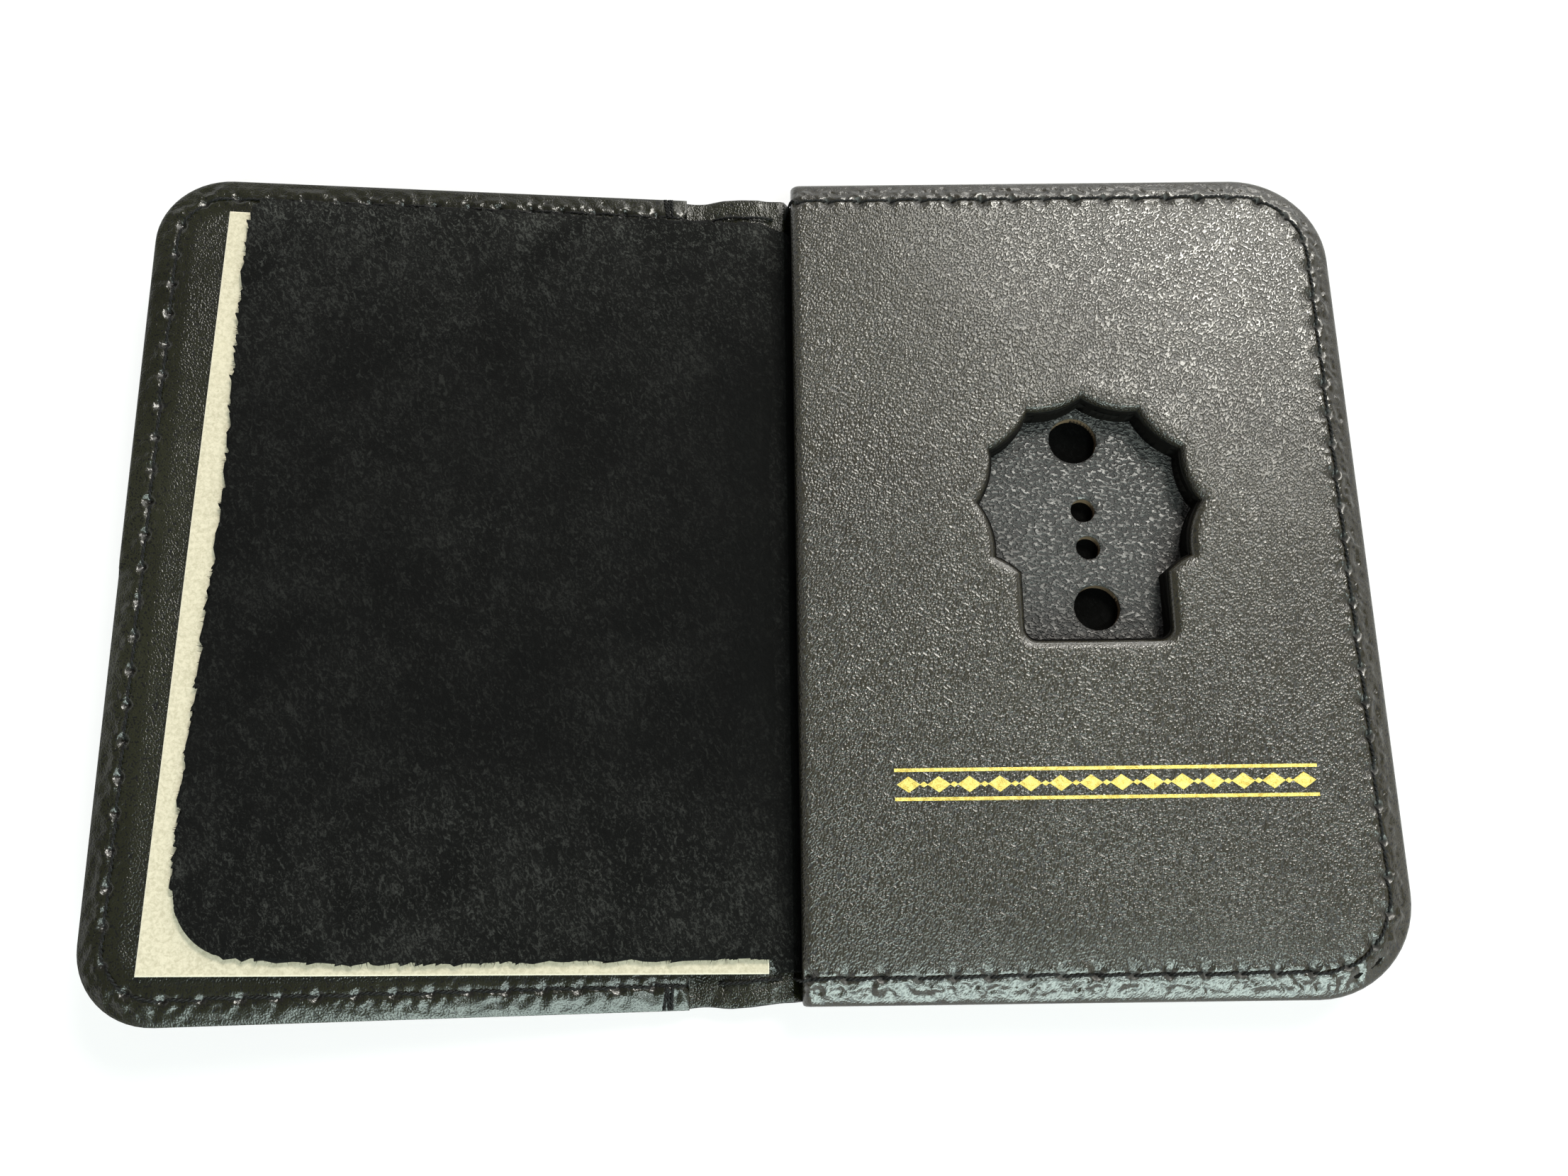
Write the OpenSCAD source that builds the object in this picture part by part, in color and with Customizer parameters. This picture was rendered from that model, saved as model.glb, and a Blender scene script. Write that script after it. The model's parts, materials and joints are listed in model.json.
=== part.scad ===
// Id badge wallet, lying open on its back: badge panel on the right, card pocket on the left.
// +Z is up, +X runs from the card side to the badge side, and the fold lines run along Y.
// The origin is the middle of the open wallet, on the surface that it lies on.

/* [Covers] */
// Height of both covers, head to foot
cover_h = 108; // [90:0.5:130]
// Width of the badge panel, from its turned edge to its outer edge
badge_w = 73; // [64:0.5:90]
// Width of the card pocket panel
pocket_w = 70; // [62:0.5:88]
// Radius of the outer corners
corner_r = 10; // [6:0.5:14]
// Thickness of the shell leather
shell_t = 1; // [0.8:0.1:1.6]
// Thickness of the thin leather that lines the shell
lining_t = 0.6; // [0.5:0.05:1]
// Bare strip between the badge panel and its fold line
badge_margin = 1.9; // [1.6:0.1:3]
// Bare strip between the pocket panel and its fold line
pocket_margin = 2.7; // [1.6:0.1:4]
// How far the card side stands up from flat when the wallet lies open
lift_angle = 6.5; // [2:0.5:10]

/* [Badge panel] */
// Thickness of the face leather
face_t = 1; // [0.8:0.1:1.4]
// Thickness of the upper spacer board
spacer_upper_t = 1; // [0.8:0.1:2]
// Thickness of the lower spacer board
spacer_lower_t = 2; // [1.6:0.1:3]
// Thickness of the suede on the recess floor
floor_suede_t = 0.5; // [0.3:0.05:0.8]
// Thickness of the backing board
backing_t = 1.4; // [1:0.1:2]
// Width of the band that rolls down to the stitched edges
roll_w = 2.2; // [1.4:0.1:3]
// Drop of the panel's face over that band
roll_drop = 1.8; // [0.8:0.1:2.2]
// Width of the rounding on the turned edge
turn_w = 0.8; // [0.4:0.1:1.5]

/* [Badge recess] */
// Distance of the recess centre from the turned edge
recess_x = 37.9; // [30:0.1:40]
// Height of the recess centre above the middle of the panel
recess_y = 7.4; // [0:0.1:12]
// Radius of the sunburst, centre to tip
burst_r = 14.2; // [12:0.1:18]
// Number of rays in the full sunburst
burst_rays = 12; // [10:2:16]
// Depth of the scoop between two rays
scoop_depth = 0.7; // [0.3:0.05:1.2]
// Width of the straight foot of the recess
foot_w = 18.4; // [14:0.1:20]
// Distance from the recess centre down to the end of the foot
foot_reach = 18; // [16:0.1:24]
// Radius of the foot's corners
foot_corner_r = 1.6; // [0.8:0.1:3]

/* [Badge holes] */
// Diameter of the upper post hole
upper_hole_d = 6.4; // [5:0.1:7]
// Diameter of the lower post hole
lower_hole_d = 6; // [5:0.1:7]
// Diameter of the two pin holes
pin_hole_d = 3.2; // [2.4:0.1:4]
// Height of the upper post hole above the recess centre
upper_hole_up = 9.7; // [8:0.1:9.8]
// Distance of the first pin hole below the recess centre
pin_one_down = 0.1; // [0:0.1:1]
// Distance of the second pin hole below the recess centre
pin_two_down = 5.2; // [4.8:0.1:6.5]
// Distance of the lower post hole below the recess centre
lower_hole_down = 13.3; // [12:0.1:14]
// Lean of the row of holes, foot towards the outer edge
hole_lean = 4; // [0:0.5:5]

/* [Pocket, leaf and card] */
// Thickness of the pocket panel
pocket_t = 1; // [0.8:0.1:1.4]
// Depth of the slip space left inside each pocket
slip_t = 0.3; // [0.2:0.05:0.5]
// Width of the glued border round each pocket
border_w = 5; // [4:0.1:8]
// Thickness of the suede leaf
leaf_t = 0.8; // [0.6:0.1:1.2]
// Height of the leaf
leaf_h = 97.5; // [80:0.5:100]
// Distance from the turned edge of the badge panel to the free edge of the leaf
leaf_reach = 72.6; // [60:0.2:73]
// Radius of the leaf's foot corner
leaf_foot_r = 9; // [4:0.5:12]
// Radius of the leaf's head corner
leaf_head_r = 2; // [1:0.5:6]
// How far the leaf's middle lies above the middle of the cover
leaf_up = 0.15; // [0:0.05:0.5]
// How much wider the loose card is than the pocket panel
card_over = 2.2; // [0:0.1:3]
// Height of the loose card
card_h = 96.9; // [80:0.1:98]
// Thickness of the loose card
card_t = 0.35; // [0.25:0.05:0.5]
// Distance from the pocket's outer edge to the card's outer edge
card_inset = 8.4; // [6:0.1:12]
// How far the card's middle lies below the middle of the cover
card_down = 1.4; // [0:0.1:1.8]
// Turn of the card in its own plane
card_turn = 0.8; // [0:0.1:1]

/* [Seams] */
// Distance of the seam from the edge of the covers
seam_inset = 3; // [2.6:0.1:4]
// Width of the groove that the thread lies in
groove_w = 0.95; // [0.8:0.05:1.2]
// Width of the thread
thread_w = 0.5; // [0.3:0.05:0.55]
// Height of the thread, and depth of its groove
thread_t = 0.3; // [0.2:0.05:0.35]
// Distance from one stitch to the next
stitch_pitch = 4.2; // [3:0.1:5]
// Gap between two stitches, where the thread goes through
stitch_gap = 0.8; // [0.4:0.1:1]
// Distance of the thread tacks from the pocket's mouth
tack_inset = 2.9; // [2:0.1:4]

/* [Clearances] */
// Gap between two leather sheets at a fold line
fold_gap = 0.1; // [0.05:0.01:0.2]
// Gap between the leaf, the card and the pocket panel when the wallet lies flat
rest_gap = 0.1; // [0.05:0.05:0.2]
// Gap between the leaf and the badge panel when the wallet is shut
shut_gap = 0.35; // [0.2:0.05:0.6]
// Gap between the fold line and the axis that the leaf turns about
leaf_axis_gap = 1; // [0.8:0.1:1.4]

/* [Hidden] */
// One overrun serves every cut and every overlap inside a piece
overrun = 0.5;

leather = "#2b2b26";
suede = "#1c1c1c";
thread = "#101010";
board = "#5a4030";

// Heights of the layers, from the surface up
inner_z = shell_t + lining_t;
backing_z = inner_z + leaf_t;
floor_z = backing_z + backing_t;
lower_z = floor_z + floor_suede_t;
upper_z = lower_z + spacer_lower_t;
face_z = upper_z + spacer_upper_t;
panel_top = face_z + face_t;
edge_top = panel_top - roll_drop;

// The spine is as wide as what it closes round
over_leaf = pocket_t + card_t + 2 * rest_gap;
spine_w = panel_top - inner_z + over_leaf + leaf_t + shut_gap;

// Half of the lift is taken at each fold line
half_lift = lift_angle / 2;
badge_cover_w = badge_w + badge_margin;
pocket_cover_w = pocket_w + pocket_margin;

// The outer edges at rest, seen from the turned edge of the badge panel, and the shift that centres them
left_reach = badge_margin + spine_w * cos(half_lift) + pocket_cover_w * cos(lift_angle)
    + inner_z * sin(lift_angle);
panel_x = (left_reach - badge_w) / 2;
fold_x = panel_x - badge_margin;
far_fold_x = fold_x - spine_w * cos(half_lift);
far_fold_z = inner_z + spine_w * sin(half_lift);

// The leaf turns about a line at half the height of the shut spine
leaf_axis_x = fold_x + leaf_axis_gap;
leaf_axis_z = inner_z + spine_w / 2;
leaf_drop = spine_w / 2 - over_leaf;
card_w = pocket_w + card_over;
// Where the pocket's outer edge lies at rest, seen along the leaf from its axis
pocket_edge = (leaf_axis_gap + spine_w * cos(half_lift)) * cos(lift_angle)
    - spine_w * (1 / 2 - sin(half_lift)) * sin(lift_angle) + pocket_cover_w;

// The sunburst's scoops are arcs through neighbouring tips
ray_step = 360 / burst_rays;
half_chord = burst_r * sin(ray_step / 2);
scoop_r = (half_chord * half_chord + scoop_depth * scoop_depth) / (2 * scoop_depth);
scoop_mid = burst_r * cos(ray_step / 2) - scoop_depth + scoop_r;

// The seam runs along the head, round the outer edge and back along the foot
seam_r = corner_r - seam_inset;
seam_arc = seam_r * PI / 2;
stitch_len = stitch_pitch - stitch_gap;

// A flat cover outline: fold side at x = 0, outer corners rounded
module cover_outline(w, h, r) {
    translate([0, -h / 2]) square([w - r, h]);
    translate([w - r - overrun, r - h / 2]) square([r + overrun, h - 2 * r]);
    for (side = [-1, 1]) translate([w - r, side * (h / 2 - r)]) circle(r = r, $fn = 96);
}

module cover(w, t) {
    linear_extrude(t) cover_outline(w, cover_h, corner_r);
}

// A cover that starts half of a gap away from its fold line
module trimmed_cover(w, t) {
    difference() {
        cover(w, t);
        translate([-overrun, -cover_h, -overrun])
            cube([fold_gap / 2 + overrun, 2 * cover_h, t + 2 * overrun]);
    }
}

// The groove that the seam lies in, open at the fold side
module seam_groove(w) {
    near = seam_inset - groove_w / 2;
    far = seam_inset + groove_w / 2;
    linear_extrude(thread_t + overrun) difference() {
        translate([-overrun, 0])
            cover_outline(w + overrun - near, cover_h - 2 * near, corner_r - near);
        translate([-2 * overrun, 0])
            cover_outline(w + 2 * overrun - far, cover_h - 2 * far, corner_r - far);
    }
}

// One stitch lying along X, its middle at the origin
module stitch() {
    linear_extrude(thread_t) {
        square([stitch_len - thread_w, thread_w], center = true);
        for (side = [-1, 1]) translate([side * (stitch_len - thread_w) / 2, 0])
            circle(d = thread_w, $fn = 24);
    }
}

// Place and heading of the seam at a distance d along it, on a cover w wide
function seam_point(d, w) =
    let (run = w - corner_r, rise = cover_h - 2 * corner_r, head = cover_h / 2 - seam_inset)
    d < run ? [d, head, 0]
    : d < run + seam_arc
        ? let (a = 90 * (d - run) / seam_arc)
          [run + seam_r * sin(a), head - seam_r + seam_r * cos(a), -a]
    : d < run + seam_arc + rise
        ? [w - seam_inset, cover_h / 2 - corner_r - (d - run - seam_arc), -90]
    : d < run + 2 * seam_arc + rise
        ? let (a = 90 * (d - run - seam_arc - rise) / seam_arc)
          [run + seam_r * cos(a), -head + seam_r - seam_r * sin(a), -90 - a]
    : [w - seam_inset - seam_r - (d - run - 2 * seam_arc - rise), -head, 180];

// All the stitches of one cover, evenly spaced
module seam(w, start) {
    total = 2 * (w - corner_r) + 2 * seam_arc + cover_h - 2 * corner_r;
    count = floor((total - 2 * start) / stitch_pitch);
    for (i = [0 : count - 1]) {
        p = seam_point(start + (i + 1 / 2) * (total - 2 * start) / count, w);
        translate([p[0], p[1]]) rotate(p[2]) stitch();
    }
}

// The space under a pocket's mouth, open at the fold side
module slip_space(w) {
    translate([-overrun, border_w - cover_h / 2, -overrun])
        cube([w - border_w + overrun, cover_h - 2 * border_w, slip_t + overrun]);
}

// The badge panel's body under a skin: a block with rolled-down edges
module rolled_block(start, base, drop) {
    edge = edge_top - drop;
    plateau_w = badge_w - start - turn_w - roll_w;
    hull() {
        translate([start, 0, base]) linear_extrude(edge - base)
            cover_outline(badge_w - start, cover_h, corner_r);
        translate([start + turn_w, 0, base]) linear_extrude(panel_top - drop - base)
            cover_outline(plateau_w, cover_h - 2 * roll_w, corner_r - roll_w);
    }
}

module recess_outline() {
    translate([recess_x, recess_y]) {
        difference() {
            rotate(90) circle(r = burst_r, $fn = burst_rays);
            for (k = [1 : burst_rays]) rotate(90 + (k - 1 / 2) * ray_step)
                translate([scoop_mid, 0]) circle(r = scoop_r, $fn = 96);
        }
        translate([-foot_w / 2, foot_corner_r - foot_reach])
            square([foot_w, foot_reach - foot_corner_r]);
        translate([foot_corner_r - foot_w / 2, -foot_reach])
            square([foot_w - 2 * foot_corner_r, foot_reach]);
        for (side = [-1, 1])
            translate([side * (foot_w / 2 - foot_corner_r), foot_corner_r - foot_reach])
                circle(r = foot_corner_r, $fn = 48);
    }
}

module recess(base) {
    translate([0, 0, base]) linear_extrude(panel_top + overrun - base) recess_outline();
}

// The four badge holes, through whatever lies between base and top
module badge_holes(base, top) {
    translate([recess_x, recess_y, base - overrun]) rotate(hole_lean) {
        depth = top - base + 2 * overrun;
        translate([0, upper_hole_up]) cylinder(d = upper_hole_d, h = depth, $fn = 96);
        translate([0, -lower_hole_down]) cylinder(d = lower_hole_d, h = depth, $fn = 96);
        for (down = [pin_one_down, pin_two_down])
            translate([0, -down]) cylinder(d = pin_hole_d, h = depth, $fn = 64);
    }
}

// Places the badge side's pieces: x = 0 is the turned edge of the badge panel
module on_badge_side() {
    translate([panel_x, 0, 0]) children();
}

// Places the spine's pieces: x = 0 is the badge side's fold line, and x grows towards the card side
module on_spine() {
    translate([fold_x, 0, inner_z]) rotate([0, half_lift, 0]) mirror([1, 0, 0])
        translate([0, 0, -inner_z]) children();
}

// Places the card side's pieces: x = 0 is its own fold line, and x grows towards its outer edge
module on_card_side() {
    translate([far_fold_x, 0, far_fold_z]) rotate([0, lift_angle, 0]) mirror([1, 0, 0])
        translate([0, 0, -inner_z]) children();
}

// Places the leaf and the card: x = 0 and z = 0 are the axis that the leaf turns about
module on_leaf() {
    translate([leaf_axis_x, 0, leaf_axis_z]) rotate([0, lift_angle, 0]) mirror([1, 0, 0]) children();
}

module shell_badge_side() {
    color(leather) on_badge_side() translate([-badge_margin, 0, 0])
        trimmed_cover(badge_cover_w, shell_t);
}

module lining_badge_side() {
    color(leather) on_badge_side() translate([-badge_margin, 0, shell_t])
        trimmed_cover(badge_cover_w, lining_t);
}

module leaf_tail() {
    color(suede) on_badge_side() translate([0, 0, inner_z]) cover(badge_w, leaf_t);
}

module badge_backing() {
    color(board) on_badge_side() difference() {
        translate([face_t, 0, backing_z]) cover(badge_w - face_t, backing_t);
        translate([0, 0, backing_z]) slip_space(badge_w);
        badge_holes(backing_z, floor_z);
    }
}

module recess_floor() {
    color("#4a4a4a") on_badge_side() difference() {
        translate([face_t, 0, floor_z]) cover(badge_w - face_t, floor_suede_t);
        badge_holes(floor_z, lower_z);
    }
}

// One spacer board: the part of the panel's body between two heights
module spacer(base, top) {
    on_badge_side() difference() {
        intersection() {
            rolled_block(face_t, lower_z, face_t);
            translate([0, -cover_h, base]) cube([2 * badge_w, 2 * cover_h, top - base]);
        }
        recess(base - overrun);
    }
}

module spacer_lower() {
    color("#33302a") spacer(lower_z, upper_z);
}

module spacer_upper() {
    color("#3a392f") spacer(upper_z, face_z);
}

module badge_face() {
    rim_z = edge_top - face_t;
    color(leather) on_badge_side() {
        difference() {
            rolled_block(0, rim_z, 0);
            rolled_block(face_t, rim_z - overrun, face_t);
            recess(rim_z - overrun);
            translate([0, 0, panel_top - thread_t]) seam_groove(badge_w);
        }
        translate([0, -cover_h / 2, backing_z + slip_t])
            cube([face_t, cover_h, rim_z - backing_z - slip_t + thread_t]);
    }
}

module stitches_badge_side() {
    color(thread) on_badge_side() translate([0, 0, panel_top - thread_t]) seam(badge_w, turn_w);
}

module spine_sheet(base, t) {
    translate([fold_gap / 2, -cover_h / 2, base]) cube([spine_w - fold_gap, cover_h, t]);
}

module shell_spine() {
    color(leather) on_spine() spine_sheet(0, shell_t);
}

module lining_spine() {
    color(leather) on_spine() difference() {
        spine_sheet(shell_t, lining_t);
        for (side = [-1, 1])
            translate([-overrun, side * (cover_h / 2 - seam_inset) - groove_w / 2, inner_z - thread_t])
                cube([spine_w + 2 * overrun, groove_w, thread_t + overrun]);
    }
}

module stitches_spine() {
    count = floor(spine_w / stitch_pitch);
    color(thread) on_spine() for (side = [-1, 1], i = [0 : count - 1])
        translate([(i + 1 / 2) * spine_w / count, side * (cover_h / 2 - seam_inset), inner_z - thread_t])
            stitch();
}

module shell_card_side() {
    color(leather) on_card_side() trimmed_cover(pocket_cover_w, shell_t);
}

module lining_card_side() {
    color(leather) on_card_side() translate([0, 0, shell_t]) trimmed_cover(pocket_cover_w, lining_t);
}

module pocket_panel() {
    color(leather) on_card_side() translate([pocket_margin, 0, inner_z]) difference() {
        cover(pocket_w, pocket_t);
        slip_space(pocket_w);
        translate([0, 0, pocket_t - thread_t]) seam_groove(pocket_w);
    }
}

module stitches_card_side() {
    color(thread) on_card_side() translate([pocket_margin, 0, inner_z + pocket_t - thread_t])
        seam(pocket_w, 0);
}

// A tack: the thread goes over the panel from the seam to the edge of the cover, and down past it
module pocket_tacks() {
    reach = seam_inset - groove_w / 2 - thread_t;
    over = thread_w / 2;
    color(thread) on_card_side() for (side = [-1, 1])
        translate([pocket_margin + tack_inset - over, 0, 0]) mirror([0, side < 0 ? 1 : 0, 0]) {
            translate([0, cover_h / 2 - reach, inner_z + pocket_t])
                cube([thread_w, reach + over, over]);
            translate([0, cover_h / 2, 0]) cube([thread_w, over, inner_z + pocket_t + over]);
        }
}

// The leaf, below its axis when the wallet lies open
module suede_leaf() {
    reach = leaf_reach - badge_margin + leaf_axis_gap;
    color(suede) on_leaf() translate([0, leaf_up, -leaf_drop]) linear_extrude(leaf_t) {
        foot = -leaf_h / 2;
        head = leaf_h / 2;
        translate([0, foot]) square([reach - leaf_foot_r, leaf_h]);
        translate([0, foot + leaf_foot_r])
            square([reach, leaf_h - leaf_foot_r - leaf_head_r]);
        square([reach - leaf_head_r, head]);
        translate([reach - leaf_foot_r, foot + leaf_foot_r]) circle(r = leaf_foot_r, $fn = 96);
        translate([reach - leaf_head_r, head - leaf_head_r]) circle(r = leaf_head_r, $fn = 48);
    }
}

// The card, just under the leaf
module loose_card() {
    color("#e4e0c8") on_leaf()
        translate([pocket_edge - card_inset - card_w / 2, -card_down, -leaf_drop - rest_gap - card_t])
            linear_extrude(card_t) rotate(card_turn) square([card_w, card_h], center = true);
}

shell_badge_side();
lining_badge_side();
leaf_tail();
badge_backing();
recess_floor();
spacer_lower();
spacer_upper();
badge_face();
stitches_badge_side();
shell_spine();
lining_spine();
stitches_spine();
shell_card_side();
lining_card_side();
pocket_panel();
stitches_card_side();
pocket_tacks();
suede_leaf();
loose_card();
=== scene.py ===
import json
import math
import random

import bmesh
import bpy
from mathutils import Matrix, Vector, kdtree, noise


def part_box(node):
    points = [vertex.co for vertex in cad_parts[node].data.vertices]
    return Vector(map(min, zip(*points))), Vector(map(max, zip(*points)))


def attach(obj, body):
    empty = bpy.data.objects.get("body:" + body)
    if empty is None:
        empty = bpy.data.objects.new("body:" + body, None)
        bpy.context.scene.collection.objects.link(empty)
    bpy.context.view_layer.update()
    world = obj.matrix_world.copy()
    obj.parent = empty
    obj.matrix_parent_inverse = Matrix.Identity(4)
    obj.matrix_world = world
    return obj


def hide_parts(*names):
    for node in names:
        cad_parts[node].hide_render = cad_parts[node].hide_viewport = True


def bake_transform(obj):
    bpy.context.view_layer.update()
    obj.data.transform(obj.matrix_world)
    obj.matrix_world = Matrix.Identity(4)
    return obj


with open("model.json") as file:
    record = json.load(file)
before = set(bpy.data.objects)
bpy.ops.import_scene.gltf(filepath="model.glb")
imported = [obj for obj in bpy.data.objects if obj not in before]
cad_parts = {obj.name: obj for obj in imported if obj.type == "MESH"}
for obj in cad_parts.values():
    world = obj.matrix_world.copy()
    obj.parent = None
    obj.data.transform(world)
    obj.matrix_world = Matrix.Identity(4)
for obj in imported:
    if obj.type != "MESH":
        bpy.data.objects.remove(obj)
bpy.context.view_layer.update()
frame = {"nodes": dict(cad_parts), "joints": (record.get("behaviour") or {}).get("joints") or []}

mm = 0.001
chance = random.Random(41)

# The frame says where things are, in millimetres here
joints = {joint["name"]: joint for joint in frame["joints"]}
nearFold = Vector(joints["spine_fold"]["pos_m"]) / mm
farFold = Vector(joints["cover_fold"]["pos_m"]) / mm
leafAxis = Vector(joints["leaf_turn"]["pos_m"]) / mm
panelLow, panelHigh = (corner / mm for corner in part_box("badge_face"))
spineWidth = (nearFold - farFold).length
halfLift = math.atan2(farFold.z - nearFold.z, nearFold.x - farFold.x)
farFlat = nearFold.x - spineWidth
midSpine = nearFold.x - spineWidth / 2
coverHeight = 108.0
roundBadge, roundCard = 12.2, 9.3
badgeWidth = panelHigh.x - panelLow.x
mouthGap = 2.7
pocketMouth = farFlat - mouthGap
pocketWidth = 70.0
linedTop = nearFold.z


def ramp(t):
    t = min(1.0, max(0.0, t))
    return t * t * (3 - 2 * t)


def bell(t):
    return math.exp(-t * t)


def wander(x, y, size, seed=0.0):  # smooth noise, about -1 to 1, with bumps of that size in mm
    return noise.noise(Vector((x / size, y / size, seed)))


# The open wallet springs up a little at both folds, and its card side sits low and slightly turned
spring = {"soft": 1.4, "lean": 0.0098, "drop": 0.18, "left": 0.2, "grow": 0.0105, "arch": 1.5,
          "archFrom": 8.2, "archRise": 8.5, "archEnd": 5.35, "archFall": 1.1}


def turnedBy(point, pivotX, pivotZ, angle):
    x, z = point.x - pivotX, point.z - pivotZ
    point.x = pivotX + x * math.cos(angle) + z * math.sin(angle)
    point.z = pivotZ - x * math.sin(angle) + z * math.cos(angle)


def arched(x):  # the spine stands up where the thread pulls it to the badge panel
    falling = ramp((spring["archEnd"] - x) / spring["archFall"])
    return spring["arch"] * ramp((x + spring["archFrom"]) / spring["archRise"]) * falling


def layOpen(point, skew=True):  # from the flat wallet to the open one
    soft = spring["soft"]
    x = point.x
    point.z += arched(x)
    if skew:
        over = ramp((nearFold.x + 1.5 - x) / spineWidth)
        angle = spring["lean"] * over
        dx, dy = (x - pocketMouth) * (1 + spring["grow"] * over), point.y * (1 + spring["grow"] * over)
        point.x = pocketMouth + dx * math.cos(angle) - dy * math.sin(angle) - spring["left"] * over
        point.y = dx * math.sin(angle) + dy * math.cos(angle) - spring["drop"] * over
    turnedBy(point, farFlat, linedTop, halfLift * ramp((farFlat + soft - x) / (2 * soft)))
    turnedBy(point, nearFold.x, linedTop, halfLift * ramp((nearFold.x + soft - x) / (2 * soft)))


# Shader maths as Python expressions
class Wire:
    def __init__(self, finish, socket):
        self.finish, self.socket = finish, socket

    def sum(self, operation, first, second):
        return self.finish.node("ShaderNodeMath", {"operation": operation}, {0: first, 1: second})

    def __add__(self, other):
        return self.sum("ADD", self, other)

    def __radd__(self, other):
        return self.sum("ADD", other, self)

    def __sub__(self, other):
        return self.sum("SUBTRACT", self, other)

    def __rsub__(self, other):
        return self.sum("SUBTRACT", other, self)

    def __mul__(self, other):
        return self.sum("MULTIPLY", self, other)

    def __rmul__(self, other):
        return self.sum("MULTIPLY", other, self)


class Finish:
    def __init__(self, name, steady):
        self.material = bpy.data.materials.new(name)
        self.material.use_nodes = True
        self.tree = self.material.node_tree
        self.tree.nodes.clear()
        self.shader = self.tree.nodes.new("ShaderNodeBsdfPrincipled")
        output = self.tree.nodes.new("ShaderNodeOutputMaterial")
        self.tree.links.new(self.shader.outputs[0], output.inputs[0])
        for socket, value in steady.items():
            self.shader.inputs[socket].default_value = value
        self.place = self.node("ShaderNodeTexCoord", {}, {}, "Object")

    def node(self, kind, settings, sockets, out=0):
        made = self.tree.nodes.new(kind)
        for name, value in settings.items():
            if name == "stops":
                while len(made.color_ramp.elements) < len(value):
                    made.color_ramp.elements.new(1.0)
                for element, (position, shade) in zip(made.color_ramp.elements, value):
                    element.position = position
                    element.color = (*shade, 1.0) if isinstance(shade, tuple) else (shade, shade, shade, 1.0)
            else:
                setattr(made, name, value)
        for name, value in sockets.items():
            if isinstance(value, Wire):
                self.tree.links.new(value.socket, made.inputs[name])
            else:
                made.inputs[name].default_value = value
        return Wire(self, made.outputs[out])

    def speckle(self, size, detail=3.0, rough=0.55, warp=0.0, place=None):  # noise with bumps of that size in mm
        return self.node("ShaderNodeTexNoise", {}, {"Vector": place or self.place, "Scale": 1 / (size * mm),
                         "Detail": detail, "Roughness": rough, "Distortion": warp})

    def stretched(self, x, y, z, turn=0.0, place=None):  # streaks: drawn out along each axis of a turned place
        return self.node("ShaderNodeMapping", {"vector_type": "TEXTURE"}, {"Vector": place or self.place,
                         "Scale": (x, y, z), "Rotation": (0, 0, math.radians(turn))})

    def swept(self, size, reach):  # a place that drifts by that reach over that size, both in mm
        drift = self.node("ShaderNodeTexNoise", {}, {"Vector": self.place, "Scale": 1 / (size * mm), "Detail": 1.0},
                          "Color")
        return self.node("ShaderNodeVectorMath", {"operation": "MULTIPLY_ADD"},
                         {0: drift, 1: (reach * mm,) * 3, 2: self.place})

    def mix(self, factor, first, second):  # each colour is a wire or a plain one
        first, second = (c if isinstance(c, Wire) else tone(*c) for c in (first, second))
        return self.node("ShaderNodeMix", {"data_type": "RGBA"}, {"Factor": factor, 6: first, 7: second}, 2)

    def dimmed(self, tint, shade):  # a colour times a grey
        return self.node("ShaderNodeMix", {"data_type": "RGBA", "blend_type": "MULTIPLY"},
                         {"Factor": 1.0, 6: tint, 7: shade}, 2)

    def ramp(self, value, stops):
        return self.node("ShaderNodeValToRGB", {"stops": stops}, {"Fac": value})

    def rise(self, value, low, high):  # from 0 to 1 between two levels
        return self.ramp(value, [(low, 0.0), (high, 1.0)])

    def mark(self, name):  # a value painted on the piece's own points
        return self.node("ShaderNodeAttribute", {"attribute_name": name}, {}, "Fac")

    def dress(self, tint, rough, height, strength, depth):  # colour, roughness and a bump of that depth in mm
        bump = self.node("ShaderNodeBump", {}, {"Height": height, "Strength": strength, "Distance": depth * mm})
        for socket, wire in (("Base Color", tint), ("Roughness", rough), ("Normal", bump)):
            self.tree.links.new(wire.socket, self.shader.inputs[socket])
        return self.material


def tone(r, g, b):
    return (r, g, b, 1.0)


def leatherFinish(name, look):  # drawn-out pebbles, pressed smooth and worn along a seam
    finish = Finish(name, {"Specular IOR Level": look["gloss"]})
    drawn = finish.stretched(1.0, look["long"], 1.0, look["lean"], finish.swept(24, 4))
    folds = finish.speckle(look["grain"], 0.3, 0.5, 0.0, drawn)
    patch = finish.ramp(finish.speckle(12, 3.0, 0.6), [(0.3, look["even"]), (0.6, 1.0)])
    ridge = finish.rise(folds, 0.3, 0.64)
    cloud = finish.rise(finish.speckle(31, 4.0, 0.6), 0.35, 0.7)
    tint = finish.mix(cloud, look["dark"], look["pale"])
    # Painted shade and dirt: the grain is darkened in its crevices, down to the crevice level
    shade = finish.ramp(ridge, [(0.0, look["creviceShade"]), (0.5, 1.0)])
    tint = finish.dimmed(tint, shade)
    tint = finish.mix(finish.mark("cutEdge"), tint, look["edge"])
    rough = look["rough"] + (1 - ridge) * look["matt"] + (1 - patch) * 0.06 + finish.mark("cutEdge") * look["torn"] \
        - finish.mark("pressed") * look["rubbed"]
    return finish.dress(tint, rough, ridge * patch * (1 - finish.mark("pressed") * look["worn"]), 1.0, look["depth"])


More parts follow.
